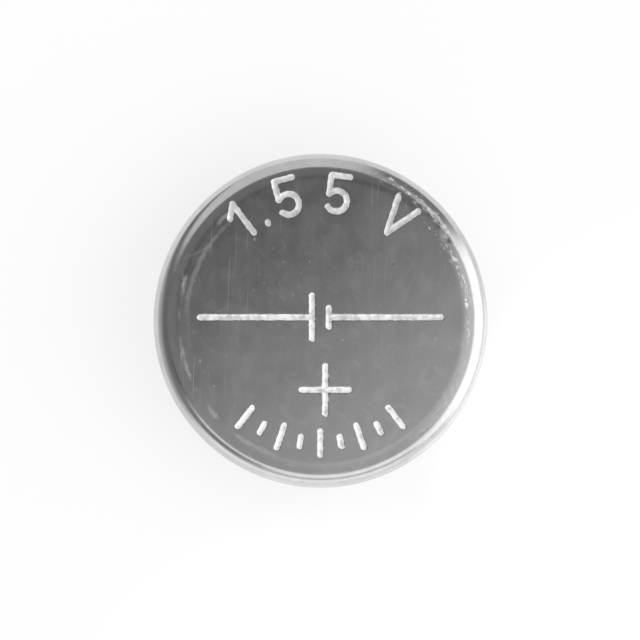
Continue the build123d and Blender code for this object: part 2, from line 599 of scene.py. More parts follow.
corner = [k for k, vertex in enumerate(vertices[: rim[-1] + 1]) if on_corner(vertex)]
for k, depth in zip(corner, dented(np.array([complex(*vertices[k][:2]) for k in corner]))):
    x, y, z = vertices[k]
    radius = math.hypot(x, y)
    outwards, upwards = max(radius - corner_centre, 0) / can_corner, (z - corner_foot) / can_corner
    shrink = 1 - depth * outwards / radius
    vertices[k] = (x * shrink, y * shrink, z - depth * upwards)

can = new_piece("can_shell", vertices, faces, "positive_can")
apart = np.ones(len(vertices))
for k, value in zip(numbers, face_apart):
    apart[k] = value
can.data.attributes.new("from_strokes", "FLOAT", "POINT").data.foreach_set("value", apart.astype(np.float32))

# %% [markdown]
# ## The negative cap
#
# The cap is pressed from a clad strip into a stepped cup, and its skirt is folded back on itself so
# that the gasket grips a smooth round edge. Only its face, its corner and a little of its neck show,
# but the whole sheet is drawn, fold and slit included, so the mesh is a true shell.

# %% The cap's mesh
fold_radius = fold_gap / 2 + cap_sheet
fold_height = fold_top - fold_radius
slit_outer = skirt_radius - cap_sheet
slit_inner = slit_outer - fold_gap
leaf_bore = slit_inner - cap_sheet
fold_middle = (slit_inner + slit_outer) / 2
neck_radius = slit_inner - 2 * cap_bend - cap_sheet - shoulder_flat
skirt_round = 0.02


def cap_section():
    """Half section of the cap: outside to the fold, skirt, and back along the inside."""
    outside = rounded_line(
        [
            (0, 0),
            (neck_radius, 0),
            (neck_radius, neck_height),
            (slit_inner, neck_height),
            (slit_inner, fold_height),
        ],
        (cap_corner, cap_bend, cap_bend + cap_sheet),
    )
    slit = arc((fold_middle, fold_height), fold_gap / 2, 180, 0)
    edge = rounded_line(
        [slit[-1], (slit_outer, skirt_edge), (skirt_radius, skirt_edge), (skirt_radius, fold_height)],
        (skirt_round, skirt_round),
    )
    fold = arc((fold_middle, fold_height), fold_radius, 0, 180)
    inside = rounded_line(
        [
            fold[-1],
            (leaf_bore, neck_height + cap_sheet),
            (neck_radius - cap_sheet, neck_height + cap_sheet),
            (neck_radius - cap_sheet, cap_sheet),
            (0, cap_sheet),
        ],
        (cap_bend, cap_bend + cap_sheet, cap_corner - cap_sheet),
    )
    return stepped(outside[:-1] + slit[:-1] + edge[:-1] + fold[:-1] + inside)


vertices, faces, _ = turned(cap_section())
cap = new_piece("cap_shell", vertices, faces, "negative_cap")

# %% [markdown]
# ## The sealing gasket
#
# A nylon ring keeps the two terminals apart and the electrolyte in. The crimp squeezes it, so the
# edge that shows between cap and can bulges a little. It touches metal all round, and its section
# follows the cap's outside, over the fold, and the can's bore.

# %% The gasket's mesh
bulge = 0.012
fullness = 0.6
edge_lift = 0.016
wall_lift = 0.02
edge_round = 0.01
slit_round = 0.005
bend_slack = 0.06
EDGE_RUNS = 12


def gasket_section():
    """Closed half section of the gasket, from its visible edge round the lip and the bore."""
    visible = [
        np.array((
            neck_radius + (tip_radius - neck_radius) * share,
            gasket_recess + edge_lift - bulge * math.sin(math.pi * share) ** fullness,
        ))
        for share in np.linspace(0, 1, EDGE_RUNS + 1)
    ]
    bore = rounded_line(
        [(tip_radius, gasket_recess + wall_lift), inner_tip, (can_bore, bend_inside), (can_bore, gasket_top)],
        (edge_round, crimp_radius - can_sheet),
    )
    rim_height = fold_top - foot_rim
    meeting = math.degrees(math.asin((rim_height - fold_height) / fold_radius))
    foot = [np.array((foot_radius, gasket_top)), np.array((foot_radius, rim_height))]
    over = arc((fold_middle, fold_height), fold_radius, 180 - meeting, 0)
    under = rounded_line(
        [
            (skirt_radius, fold_height),
            (skirt_radius, skirt_edge),
            (slit_inner, skirt_edge),
            (slit_inner, neck_height),
            (neck_radius, neck_height),
            (neck_radius, gasket_recess + wall_lift),
        ],
        (edge_round, slit_round, cap_bend + cap_sheet - bend_slack, cap_bend),
    )
    return stepped(visible + bore + foot + over + under)


vertices, faces, _ = turned(gasket_section(), closed=True)
gasket = new_piece("gasket_ring", vertices, faces, "sealing_gasket")

# %% [markdown]
# ## Helpers for materials
#
# Every finish here is a small network of nodes. A few helpers keep them readable: one places a node
# and wires its inputs, and the others do sums with it. Surfaces are measured in millimetres from the
# cell's own origin, so that a scratch has a real width whatever the piece.

# %% Placing nodes
def put(tree, kind, inputs=None, **settings):
    """A node with its settings, whose inputs are plain values or other nodes' outputs."""
    made = tree.nodes.new(kind)
    for key, value in settings.items():
        setattr(made, key, value)
    for key, value in (inputs or {}).items():
        if isinstance(value, bpy.types.NodeSocket):
            tree.links.new(value, made.inputs[key])
        else:
            made.inputs[key].default_value = value
    return made


def calc(tree, operation, *values):
    """The result of a Math node."""
    return put(tree, "ShaderNodeMath", dict(enumerate(values)), operation=operation).outputs[0]


def minus(tree, value, taken):
    """One value less another."""
    return calc(tree, "SUBTRACT", value, taken)


def times(tree, *values):
    """The product of several values."""
    total = values[0]
    for value in values[1:]:
        total = calc(tree, "MULTIPLY", total, value)
    return total


def most(tree, *masks):
    """The strongest of several masks."""
    total = masks[0]
    for mask in masks[1:]:
        total = calc(tree, "MAXIMUM", total, mask)
    return total


def parts(tree, place):
    """The three coordinates of a place."""
    return put(tree, "ShaderNodeSeparateXYZ", {0: place}).outputs


def at(tree, x, y, z=0.0):
    """A place made from its coordinates."""
    return put(tree, "ShaderNodeCombineXYZ", {0: x, 1: y, 2: z}).outputs[0]


def vector(tree, operation, *values):
    """A Vector Math node's outputs."""
    return put(tree, "ShaderNodeVectorMath", dict(enumerate(values)), operation=operation).outputs


def fade(tree, value, low, high, start=0.0, end=1.0):
    """Goes smoothly from start to end while a value goes from low to high."""
    inputs = {"Value": value, "From Min": low, "From Max": high, "To Min": start, "To Max": end}
    return put(tree, "ShaderNodeMapRange", inputs, interpolation_type="SMOOTHSTEP").outputs[0]


def between(tree, value, low, high, soft):
    """1 between two values and 0 beyond them, with soft edges."""
    up = fade(tree, value, low - soft, low + soft)
    down = fade(tree, value, high - soft, high + soft, 1.0, 0.0)
    return times(tree, up, down)


def noise(tree, place, scale, detail=2.0, roughness=0.5):
    """Cloudy noise between 0 and 1."""
    inputs = {"Vector": place, "Scale": scale, "Detail": detail, "Roughness": roughness}
    return put(tree, "ShaderNodeTexNoise", inputs).outputs[0]


def millimetres(tree):
    """Place on the surface in millimetres."""
    where = put(tree, "ShaderNodeTexCoord").outputs["Object"]
    return put(tree, "ShaderNodeVectorMath", {0: where, "Scale": 1 / MM}, operation="SCALE").outputs[0]


def stretch(tree, place, amounts):
    """The same place, stretched along the axes."""
    return vector(tree, "MULTIPLY", place, amounts)[0]


def new_group(name, inputs, outputs):
    """An empty node group, with its input and output nodes."""
    tree = bpy.data.node_groups.new(name, "ShaderNodeTree")
    for title, kind, value in inputs:
        socket = tree.interface.new_socket(title, in_out="INPUT", socket_type="NodeSocket" + kind)
        if value is not None:
            socket.default_value = value
    for title in outputs:
        tree.interface.new_socket(title, in_out="OUTPUT", socket_type="NodeSocketFloat")
    return tree, tree.nodes.new("NodeGroupInput").outputs, tree.nodes.new("NodeGroupOutput").inputs


def use(tree, group, **values):
    """The outputs of a node group, placed with values for its inputs."""
    return put(tree, "ShaderNodeGroup", values, node_tree=group).outputs


# %% [markdown]
# ## Effects shared by the finishes
#
# Six effects turn up in several materials, so each is a node group: the place unrolled round the
# axis, hairline scratches, clouds, pits, lines round the axis, and wear along a rounded edge. A
# scratch could be a stretched noise, but such noise makes loops. Here the surface is cut into
# columns and rows instead, and white noise decides where in its cell a line lies, how far it leans,
# where it ends and whether there is one at all.

# %% Unrolled place
def make_unrolled():
    """Length round the can's wall, radius and height, in millimetres."""
    tree, given, out = new_group("unrolled", [("Place", "Vector", None)], ["Around", "Radius", "Height"])
    x, y, z = parts(tree, given["Place"])
    tree.links.new(times(tree, calc(tree, "ARCTAN2", y, x), can_radius), out["Around"])
    tree.links.new(vector(tree, "LENGTH", at(tree, x, y))["Value"], out["Radius"])
    tree.links.new(z, out["Height"])
    return tree


unrolled = make_unrolled()


# %% Hairlines
def make_hairlines():
    """Fine straight scratches of uneven length, each in its own cell."""
    tree, given, out = new_group(
        "hairlines",
        [
            ("Across", "Float", 0.0),
            ("Along", "Float", 0.0),
            ("Spacing", "Float", 0.2),
            ("Length", "Float", 1.5),
            ("Width", "Float", 0.01),
            ("Share", "Float", 0.3),
            ("Seed", "Float", 0.0),
        ],
        ["Mask"],
    )
    place = calc(tree, "DIVIDE", given["Across"], given["Spacing"])
    column = calc(tree, "FLOOR", place)
    tag = calc(tree, "ADD", column, given["Seed"])
    shift = put(tree, "ShaderNodeTexWhiteNoise", {"W": tag}, noise_dimensions="1D").outputs[0]
    run = calc(tree, "MULTIPLY_ADD", shift, 7.0, calc(tree, "DIVIDE", given["Along"], given["Length"]))
    row = calc(tree, "FLOOR", run)
    chance = put(tree, "ShaderNodeTexWhiteNoise", {"Vector": at(tree, tag, row, given["Seed"])})
    draw = put(tree, "ShaderNodeSeparateColor", {0: chance.outputs["Color"]}).outputs
    along = minus(tree, run, row)
    lean = times(tree, minus(tree, draw[1], 0.5), minus(tree, along, 0.5))
    middle = calc(tree, "MULTIPLY_ADD", lean, 0.5, calc(tree, "MULTIPLY_ADD", draw[0], 0.4, 0.3))
    apart = calc(tree, "ABSOLUTE", minus(tree, minus(tree, place, column), middle))
    line = fade(tree, times(tree, apart, given["Spacing"]), 0.0, given["Width"], 1.0, 0.0)
    start = fade(tree, along, 0.0, 0.12)
    stop = calc(tree, "MULTIPLY_ADD", draw[0], 0.6, 0.35)
    end = fade(tree, minus(tree, along, stop), -0.2, 0.0, 1.0, 0.0)
    chosen = calc(tree, "LESS_THAN", draw[2], given["Share"])
    strength = calc(tree, "MULTIPLY_ADD", draw[1], 0.7, 0.3)
    tree.links.new(times(tree, line, start, end, chosen, strength), out["Mask"])
    return tree


hairlines = make_hairlines()


# %% Clouds and pits
def make_clouds():
    """Soft uneven patches, such as a film left by fingers."""
    tree, given, out = new_group(
        "clouds", [("Place", "Vector", None), ("Scale", "Float", 0.6), ("Contrast", "Float", 1.0)], ["Mask"])
    level = noise(tree, given["Place"], given["Scale"], 4.0, 0.6)
    sharpened = calc(tree, "MULTIPLY_ADD", minus(tree, level, 0.5), times(tree, given["Contrast"], 2.5), 0.5)
    tree.links.new(put(tree, "ShaderNodeClamp", {"Value": sharpened}).outputs[0], out["Mask"])
    return tree


def make_pits():
    """Small round spots, few and of uneven size."""
    tree, given, out = new_group(
        "pits",
        [
            ("Place", "Vector", None),
            ("Scale", "Float", 6.0),
            ("Size", "Float", 0.10),
            ("Share", "Float", 0.3),
        ],
        ["Mask"],
    )
    cells = put(tree, "ShaderNodeTexVoronoi", {"Vector": given["Place"], "Scale": given["Scale"]})
    pick = put(tree, "ShaderNodeSeparateColor", {0: cells.outputs["Color"]}).outputs
    size = times(tree, given["Size"], calc(tree, "MULTIPLY_ADD", pick[0], 0.8, 0.2))
    spot = fade(tree, calc(tree, "DIVIDE", cells.outputs["Distance"], size), 0.5, 1.0, 1.0, 0.0)
    chosen = calc(tree, "LESS_THAN", pick[1], given["Share"])
    tree.links.new(times(tree, spot, chosen), out["Mask"])
    return tree


clouds = make_clouds()
pits = make_pits()


# %% Lines round the axis
def make_rings():
    """Fine lines round the axis, as drawing, turning or coining leaves them."""
    tree, given, out = new_group(
        "rings", [("Place", "Vector", None), ("Fineness", "Float", 30.0), ("Drift", "Float", 0.25)], ["Mask"])
    x, y, _ = parts(tree, given["Place"])
    where = use(tree, unrolled, Place=given["Place"])
    across = calc(tree, "MULTIPLY_ADD", where["Height"], 1.3, where["Radius"])
    drift = [times(tree, value, given["Drift"]) for value in (x, y)]
    lines = at(tree, times(tree, across, given["Fineness"]), *drift)
    tree.links.new(noise(tree, lines, 1.0, 2.0, 0.6), out["Mask"])
    return tree


rings_round = make_rings()


# %% Wear along an edge
def make_wear():
    """Strong on a rounded edge that runs round the axis, and broken up further away."""
    tree, given, out = new_group(
        "edge wear",
        [
            ("Place", "Vector", None),
            ("Radius", "Float", 3.3),
            ("Height", "Float", 2.5),
            ("Reach", "Float", 0.2),
            ("Patches", "Float", 5.0),
        ],
        ["Mask"],
    )
    where = use(tree, unrolled, Place=given["Place"])
    across = minus(tree, where["Radius"], given["Radius"])
    along = minus(tree, where["Height"], given["Height"])
    apart = vector(tree, "LENGTH", at(tree, across, along))["Value"]
    near = minus(tree, 1.0, calc(tree, "DIVIDE", apart, given["Reach"]))
    broken = minus(tree, noise(tree, given["Place"], given["Patches"], 4.0, 0.65), 0.62)
    patchy = calc(tree, "MULTIPLY_ADD", broken, 2.0, near)
    tree.links.new(fade(tree, patchy, 0.0, 0.5), out["Mask"])
    return tree


edge_wear = make_wear()
print("groups:", ", ".join(sorted(group.name for group in bpy.data.node_groups)))


# %% [markdown]
# ## Metals
#
# Nickel plate on a rolled strip is a smooth, slightly soft mirror. Two things make it look real:
# scratches and clouds that change its roughness, and a bump so slight that only reflections show
# it. The can, the cap and the sleeve differ in colour, in how dull they are and in which lines the
# tools left.

# %% A blank material, and small helpers for its colours
def blank(name):
    """An empty material with its Principled shader and the place on the surface."""
    material = bpy.data.materials.new(name)
    material.use_nodes = True
    tree = material.node_tree
    tree.nodes.clear()
    shader = put(tree, "ShaderNodeBsdfPrincipled")
    put(tree, "ShaderNodeOutputMaterial", {"Surface": shader.outputs[0]})
    return material, tree, shader, millimetres(tree)


def turned_by(tree, place, degrees):
    """The same place, turned about the axis."""
    inputs = {"Vector": place, "Angle": math.radians(degrees)}
    return put(tree, "ShaderNodeVectorRotate", inputs, rotation_type="Z_AXIS").outputs[0]


def tint(tree, mask, plain, marked):
    """A colour that goes from plain to marked with a mask."""
    return put(tree, "ShaderNodeMix", {0: mask, 6: plain, 7: marked}, data_type="RGBA").outputs[2]


def grey(level):
    """A neutral colour."""
    return (level, level, level, 1.0)


def weighted(tree, start, *pairs):
    """A plain amount plus masks, each with its weight."""
    total = start
    for mask, weight in pairs:
        total = calc(tree, "MULTIPLY_ADD", mask, weight, total)
    return total


def worn_edge(tree, place, radius, height, reach, patches=5.0):
    """Wear along the rounded edge at a radius and a height."""
    return use(tree, edge_wear, Place=place, Radius=radius, Height=height, Reach=reach,
               Patches=patches)["Mask"]


def bump(tree, shader, height, depth):
    """Raises the surface by a depth in millimetres for each unit of height."""
    inputs = {"Height": height, "Distance": depth * MM, "Strength": 1.0}
    tree.links.new(put(tree, "ShaderNodeBump", inputs).outputs[0], shader.inputs["Normal"])


def scratched(tree, place, degrees, seed, spacing, length, width, share):
    """Hairlines on a flat face, running in one direction."""
    across, along, _ = parts(tree, turned_by(tree, place, degrees))
    return use(tree, hairlines, Across=across, Along=along, Spacing=spacing, Length=length,
               Width=width, Share=share, Seed=seed)["Mask"]


# %% [markdown]
# ## Nickel plate on the can
#
# The floor of a stamped mark keeps the matt skin of the tool, so it scatters light and looks nearly
# white beside the mirror around it. The distance to the nearest stroke is stored in the mesh, and a
# little noise on it gives the matt skin the ragged edge that stamping leaves. Packing leaves
# upright hairlines, and handling rubs the border and the corner at one side.

# %% Stamped marks and rubbed places
matt_ragged = 0.052
matt_inside = 0.074
matt_outside = 0.089
fleck_edge = 0.03


def stamped(tree, place, apart):
    """The matt skin in the marks."""
    ragged = calc(tree, "MULTIPLY_ADD", noise(tree, place, 13.0, 3.0, 0.6), matt_ragged, apart)
    return fade(tree, ragged, matt_inside, matt_outside, 1.0, 0.0)


def towards(tree, place, degrees, spread):
    """Strong in one direction from the axis."""
    x, y, _ = parts(tree, place)
    unit = vector(tree, "NORMALIZE", at(tree, x, y))[0]
    aim = (math.cos(math.radians(degrees)), math.sin(math.radians(degrees)), 0.0)
    edge = math.cos(math.radians(spread))
    return fade(tree, vector(tree, "DOT_PRODUCT", unit, aim)["Value"], edge - 0.06, edge + 0.06)


def flecks(tree, place, where, low, high, degrees, spread, level):
    """Small rubbed dashes in a stretch of the border or the corner."""
    drawn = at(tree, times(tree, where["Radius"], 17.0), times(tree, where["Around"], 6.5))
    rubbed = fade(tree, noise(tree, drawn, 1.0, 3.0, 0.6), level - fleck_edge, level + fleck_edge)
    band = between(tree, where["Radius"], low, high, fleck_edge)
    return times(tree, rubbed, band, towards(tree, place, degrees, spread))


def scuffs(tree, where, level):
    """Dull dashes that run round the outer corner, where cells rub against each other."""
    over = times(tree, minus(tree, where["Radius"], where["Height"]), 16.0)
    drawn = at(tree, over, times(tree, where["Around"], 2.4))
    dashes = fade(tree, noise(tree, drawn, 1.0, 4.0, 0.65), level, level + 0.12)
    outwards = fade(tree, where["Radius"], can_radius - 0.16, can_radius - 0.07)
    upwards = fade(tree, where["Height"], cell_height - 0.45, cell_height - 0.30)
    return times(tree, dashes, outwards, upwards)


def smudges(tree, place, degrees, scale):
    """Short dull touches left by handling, most of them along one direction."""
    long_way = stretch(tree, turned_by(tree, place, degrees), (1.0, 0.5, 1.0))
    return fade(tree, noise(tree, long_way, scale, 3.0, 0.6), 0.54, 0.68)


# %% Scratches and draw lines
packing_lines = [
    # direction in degrees, seed, spacing, length, width, share of cells that have one
    (1.5, 3.0, 0.13, 1.7, 0.009, 0.40),
    (-7.0, 9.0, 0.31, 0.9, 0.007, 0.28),
    (62.0, 21.0, 0.70, 1.1, 0.006, 0.22),
]


def can_scratches(tree, place, where, face, wall):
    """Hairlines: on the face, most of them at its left, and weaker ones on the wall."""
    packed = most(tree, *(scratched(tree, place, *line) for line in packing_lines))
    mostly_left = fade(tree, parts(tree, place)[0], -2.3, -1.5, 1.0, 0.35)
    upright = use(tree, hairlines, Across=where["Around"], Along=where["Height"], Spacing=0.23,
                  Length=2.3, Width=0.007, Share=0.30, Seed=31.0)["Mask"]
    rising = calc(tree, "MULTIPLY_ADD", where["Around"], 0.04, where["Height"])
    rolled = use(tree, hairlines, Across=rising, Along=where["Around"], Spacing=0.41,
                 Length=0.9, Width=0.006, Share=0.18, Seed=47.0)["Mask"]
    on_face = times(tree, packed, mostly_left, face)
    on_wall = times(tree, most(tree, upright, rolled), wall, 0.5)
    return calc(tree, "ADD", on_face, on_wall)


def draw_lines(tree, place, wall):
    """Upright bands, fine and broad, that deep drawing leaves on the wall."""
    x, y, _ = parts(tree, place)
    fine = noise(tree, at(tree, x, y), 19.0, 3.0, 0.7)
    broad = noise(tree, at(tree, x, y), 1.3, 2.0, 0.5)
    both = weighted(tree, 0.0, (fade(tree, fine, 0.35, 0.65), 0.4), (fade(tree, broad, 0.35, 0.65), 0.6))
    return times(tree, both, wall)


# %% Rubbed and chipped places
chips = [
    # inner radius, outer radius, compass direction, spread, level
    (2.95, 3.04, 11.0, 18.0, 0.54),
    (3.12, 3.24, 55.0, 15.0, 0.60),
    (3.10, 3.22, 38.0, 8.0, 0.54),
    (2.88, 2.94, 37.0, 6.0, 0.58),
]
chafed_stretch = (2.97, 3.08, -30.0, 18.0, 0.52)
rubbed_radius = 2.72


def worn_places(tree, place, where, face, stamp):
    """How much of the plate's gloss is gone: fully in marks and chips, and a little where it is rubbed."""
    broken = fade(tree, noise(tree, place, 1.7, 2.0), 0.44, 0.58)
    ridge = worn_edge(tree, place, border_start, cell_height, 0.07, 6.0)
    ridge = times(tree, ridge, broken, towards(tree, place, 190.0, 62.0))
    inner = worn_edge(tree, place, rubbed_radius, cell_height, 0.08, 6.0)
    inner = times(tree, inner, towards(tree, place, 155.0, 20.0))
    chafed = flecks(tree, place, where, *chafed_stretch)
    specks = fade(tree, noise(tree, stretch(tree, place, (1.0, 0.7, 1.0)), 10.0, 2.0, 0.6), 0.67, 0.73)
    specks = times(tree, specks, face, fade(tree, noise(tree, place, 0.8, 1.0), 0.40, 0.56))
    lightly = ((ridge, 0.18), (inner, 0.10), (chafed, 0.24), (specks, 0.18))
    chipped = [flecks(tree, place, where, *chip) for chip in chips]
    return most(tree, *(times(tree, mask, share) for mask, share in lightly), stamp, *chipped)


# %% The can's nickel plate
def can_metal():
    """Satin nickel plate, with its marks, scratches, clouds and rubbed edge."""
    material, tree, shader, place = blank("nickel plate")
    where = use(tree, unrolled, Place=place)
    wall = fade(tree, where["Radius"], can_radius - 0.15, can_radius - 0.05)
    face = minus(tree, 1.0, wall)
    apart = put(tree, "ShaderNodeAttribute", attribute_name="from_strokes").outputs["Fac"]

    cloud = use(tree, clouds, Place=place, Scale=0.55, Contrast=0.9)["Mask"]
    fog = use(tree, clouds, Place=place, Scale=2.4, Contrast=0.9)["Mask"]
    streak = use(tree, clouds, Place=stretch(tree, place, (3.2, 0.7, 0.7)), Scale=1.0, Contrast=1.0)["Mask"]
    wave = noise(tree, place, 0.9, 1.0)
    ripple = noise(tree, stretch(tree, place, (1.0, 0.6, 0.6)), 3.0, 0.5)
    spots = use(tree, pits, Place=place, Scale=2.6, Size=0.10, Share=0.30)["Mask"]
    lines = use(tree, rings_round, Place=place, Fineness=26.0, Drift=0.3)["Mask"]
    touched = times(tree, most(tree, smudges(tree, place, 25.0, 2.9), smudges(tree, place, -50.0, 4.6)), face)
    scratch = can_scratches(tree, place, where, face, wall)
    grain = draw_lines(tree, place, wall)
    dulled = scuffs(tree, where, 0.55)
    corner = worn_edge(tree, place, can_radius - 0.1, cell_height - 0.1, 0.22)
    worn = worn_places(tree, place, where, face, stamped(tree, place, apart))

    colour = tint(tree, cloud, grey(0.61), grey(0.65))
    for mask, share, level in (
        (streak, 0.35, 0.72),
        (grain, 0.40, 0.50),
        (touched, 0.32, 0.80),
        (dulled, 0.45, 0.38),
        (scratch, 0.50, 0.92),
        (spots, 0.50, 0.45),
    ):
        colour = tint(tree, times(tree, mask, share), colour, grey(level))
    # Painted shade: the matt skin is darkened towards the top of the face and on the floor of each groove.
    painted_shade_above = fade(tree, parts(tree, place)[1], -2.0, 2.3, 1.0, 0.60)
    painted_shade_in_grooves = fade(tree, apart, 0.0, 0.05, 0.86, 1.04)
    skin = times(tree, noise(tree, place, 8.0, 1.5, 0.5), painted_shade_above, painted_shade_in_grooves)
    colour = tint(tree, worn, colour, tint(tree, fade(tree, skin, 0.18, 0.54), grey(0.60), grey(0.98)))
    tree.links.new(colour, shader.inputs["Base Color"])
    tree.links.new(calc(tree, "MULTIPLY_ADD", worn, -0.65, 1.0), shader.inputs["Metallic"])
    rough = weighted(tree, 0.11, (cloud, 0.02), (fog, 0.03), (streak, 0.02), (scratch, 0.12), (corner, 0.03),
                     (grain, 0.08), (dulled, 0.10), (worn, 0.42))
    tree.links.new(rough, shader.inputs["Roughness"])
    coined = fade(tree, where["Radius"], corner_centre, SEAM, 0.03, 0.45)
    outside = fade(tree, where["Radius"], can_radius - 0.07, can_radius - 0.01, 1.0, 0.0)
    height = weighted(tree, times(tree, lines, coined, outside), (wave, 1.5), (ripple, 0.35), (fog, 0.06),
                      (scratch, -0.15), (spots, -0.10))
    bump(tree, shader, height, 0.002)
    return material


# %% The cap and the sleeve
def turned_metal(name, level, dull, fineness, depth, edge):
    """Nickel with lines round the axis and a worn edge, for the cap and the sleeve."""
    material, tree, shader, place = blank(name)
    cloud = use(tree, clouds, Place=place, Scale=0.8, Contrast=0.9)["Mask"]
    scratch = most(tree, scratched(tree, place, 20.0, 5.0, 0.25, 1.4, 0.009, 0.3),
                   scratched(tree, place, -55.0, 13.0, 0.45, 1.1, 0.007, 0.3))
    lines = use(tree, rings_round, Place=place, Fineness=fineness, Drift=0.2)["Mask"]
    spots = use(tree, pits, Place=place, Scale=4.0, Size=0.10, Share=0.25)["Mask"]
    worn = worn_edge(tree, place, *edge, 0.2)
    warm = (level * 1.02, level, level * 0.97, 1.0)
    colour = tint(tree, cloud, warm, grey(level + 0.06))
    colour = tint(tree, spots, colour, grey(level - 0.18))
    colour = tint(tree, worn, colour, grey(level + 0.12))
    tree.links.new(colour, shader.inputs["Base Color"])
    shader.inputs["Metallic"].default_value = 1.0
    rough = weighted(tree, dull, (cloud, 0.05), (lines, 0.08), (scratch, 0.10), (worn, -0.05))
    tree.links.new(rough, shader.inputs["Roughness"])
    bump(tree, shader, weighted(tree, 0.0, (lines, 0.7), (scratch, -0.4), (spots, -0.6)), depth)
    return material


# %% [markdown]
# ## Plastics, powders and felt
#
# Natural nylon is milky, with a faint flow pattern from moulding. The pieces inside the cell never
# show, but they would if someone cut it open: silver oxide pressed to a hard dark cake, a brownish
# film, a white felt that holds the electrolyte, and a grey gel full of zinc grains.

# %% Nylon
def nylon():
    """Milky moulded nylon with faint flow lines."""
    material, tree, shader, place = blank("natural nylon")
    flow = use(tree, rings_round, Place=place, Fineness=7.0, Drift=0.6)["Mask"]
    cloud = use(tree, clouds, Place=place, Scale=1.4, Contrast=0.7)["Mask"]
    spots = use(tree, pits, Place=place, Scale=7.0, Size=0.12, Share=0.15)["Mask"]
    colour = tint(tree, flow, (0.60, 0.59, 0.54, 1.0), (0.72, 0.71, 0.66, 1.0))
    colour = tint(tree, times(tree, cloud, 0.4), colour, (0.66, 0.62, 0.53, 1.0))
    colour = tint(tree, spots, colour, (0.45, 0.43, 0.38, 1.0))
    tree.links.new(colour, shader.inputs["Base Color"])
    shader.inputs["Subsurface Weight"].default_value = 0.15
    shader.inputs["Subsurface Scale"].default_value = 0.1 * MM
    tree.links.new(weighted(tree, 0.36, (flow, 0.10), (cloud, 0.08)), shader.inputs["Roughness"])
    bump(tree, shader, weighted(tree, 0.0, (flow, 0.8), (spots, -0.5)), 0.003)
    return material


# %% Powders, film and felt
def granular(name, dark, light, grain, dull, depth, metallic=0.0):
    """Grains of two tones pressed together."""
    material, tree, shader, place = blank(name)
    grains = noise(tree, place, grain, 5.0, 0.7)
    cloud = use(tree, clouds, Place=place, Scale=1.2, Contrast=1.0)["Mask"]
    spots = use(tree, pits, Place=place, Scale=grain * 0.5, Size=0.25, Share=0.4)["Mask"]
    colour = tint(tree, fade(tree, grains, 0.35, 0.65), dark, light)
    colour = tint(tree, times(tree, cloud, 0.35), colour, dark)
    tree.links.new(colour, shader.inputs["Base Color"])
    shader.inputs["Metallic"].default_value = metallic
    tree.links.new(weighted(tree, dull, (grains, 0.2), (spots, -0.15)), shader.inputs["Roughness"])
    bump(tree, shader, weighted(tree, 0.0, (grains, 0.8), (spots, -0.4)), depth)
    return material


def film():
    """Thin laminate of cellophane and membrane, with faint creases."""
    material, tree, shader, place = blank("cellophane laminate")
    creases = most(tree, scratched(tree, place, 35.0, 2.0, 0.8, 2.5, 0.03, 0.4),
                   scratched(tree, place, -70.0, 6.0, 1.1, 2.0, 0.03, 0.4))
    cloud = use(tree, clouds, Place=place, Scale=0.9, Contrast=0.8)["Mask"]
    colour = tint(tree, cloud, (0.50, 0.34, 0.14, 1.0), (0.58, 0.42, 0.20, 1.0))
    colour = tint(tree, creases, colour, (0.68, 0.54, 0.32, 1.0))
    tree.links.new(colour, shader.inputs["Base Color"])
    tree.links.new(weighted(tree, 0.22, (cloud, 0.12), (creases, 0.2)), shader.inputs["Roughness"])
    bump(tree, shader, creases, 0.002)
    return material


def felt():
    """Non-woven pad: fibres crossing in every direction."""
    material, tree, shader, place = blank("felt pad")
    directions = (12.0, 75.0, 131.0)
    fibres = most(tree, *(scratched(tree, place, turn, turn, 0.06, 0.7, 0.02, 0.8) for turn in directions))
    colour = tint(tree, fibres, (0.62, 0.60, 0.54, 1.0), (0.80, 0.79, 0.74, 1.0))
    tree.links.new(colour, shader.inputs["Base Color"])
    tree.links.new(weighted(tree, 0.75, (fibres, 0.15)), shader.inputs["Roughness"])
    bump(tree, shader, fibres, 0.006)
    return material


# %% Finishes on their pieces
cap_edge = (neck_radius - 0.08, 0.08)
sleeve_edge = (can_bore - 0.1, 1.7)
oxide_dark, oxide_light = (0.012, 0.011, 0.011, 1.0), (0.05, 0.048, 0.046, 1.0)
gel_dark, gel_light = (0.10, 0.105, 0.11, 1.0), (0.42, 0.43, 0.44, 1.0)
finishes = {
    can: can_metal(),
    cap: turned_metal("nickel clad", 0.62, 0.17, 22.0, 0.0012, cap_edge),
    gasket: nylon(),
    nodes["cathode_sleeve"]: turned_metal("sleeve plate", 0.50, 0.30, 14.0, 0.002, sleeve_edge),
    nodes["cathode_pellet"]: granular("silver oxide", oxide_dark, oxide_light, 14.0, 0.55, 0.006),
    nodes["zinc_anode"]: granular("zinc gel", gel_dark, gel_light, 9.0, 0.35, 0.010, 0.6),
    nodes["barrier_film"]: film(),
    nodes["absorbent_disc"]: felt(),
}
for piece, material in finishes.items():
    piece.data.materials.clear()
    piece.data.materials.append(material)
    print(piece.name, "is finished in", material.name)

# %% [markdown]
# ## Floor
#
# The cell stands on a plain white table. Part of its brightness is its own, seen only by the lens
# and by shiny or clear surfaces, and that part keeps it white. The rest is plain paper, which takes
# the cell's shadow. Two painted pools of light lie on the table beside the cell. White paper can't
# look whiter for them, but the metal can: the lower part of the corner mirrors the table. The painted
# pools belong to the table's own light, so plain surfaces don't catch them.

# %% The table
FLOOR_SIDE = 0.24
OWN_LIGHT = 0.72
PAPER = 0.95
# Painted pools of light: extra glow of the table beside the cell, seen by the lens and by the metal.
painted_pools_of_light = [
    # compass direction, how far away, reach, extra brightness
    (335, 10.0, 3.6, 0.65),
    (275, 10.5, 3.6, 0.22),
]


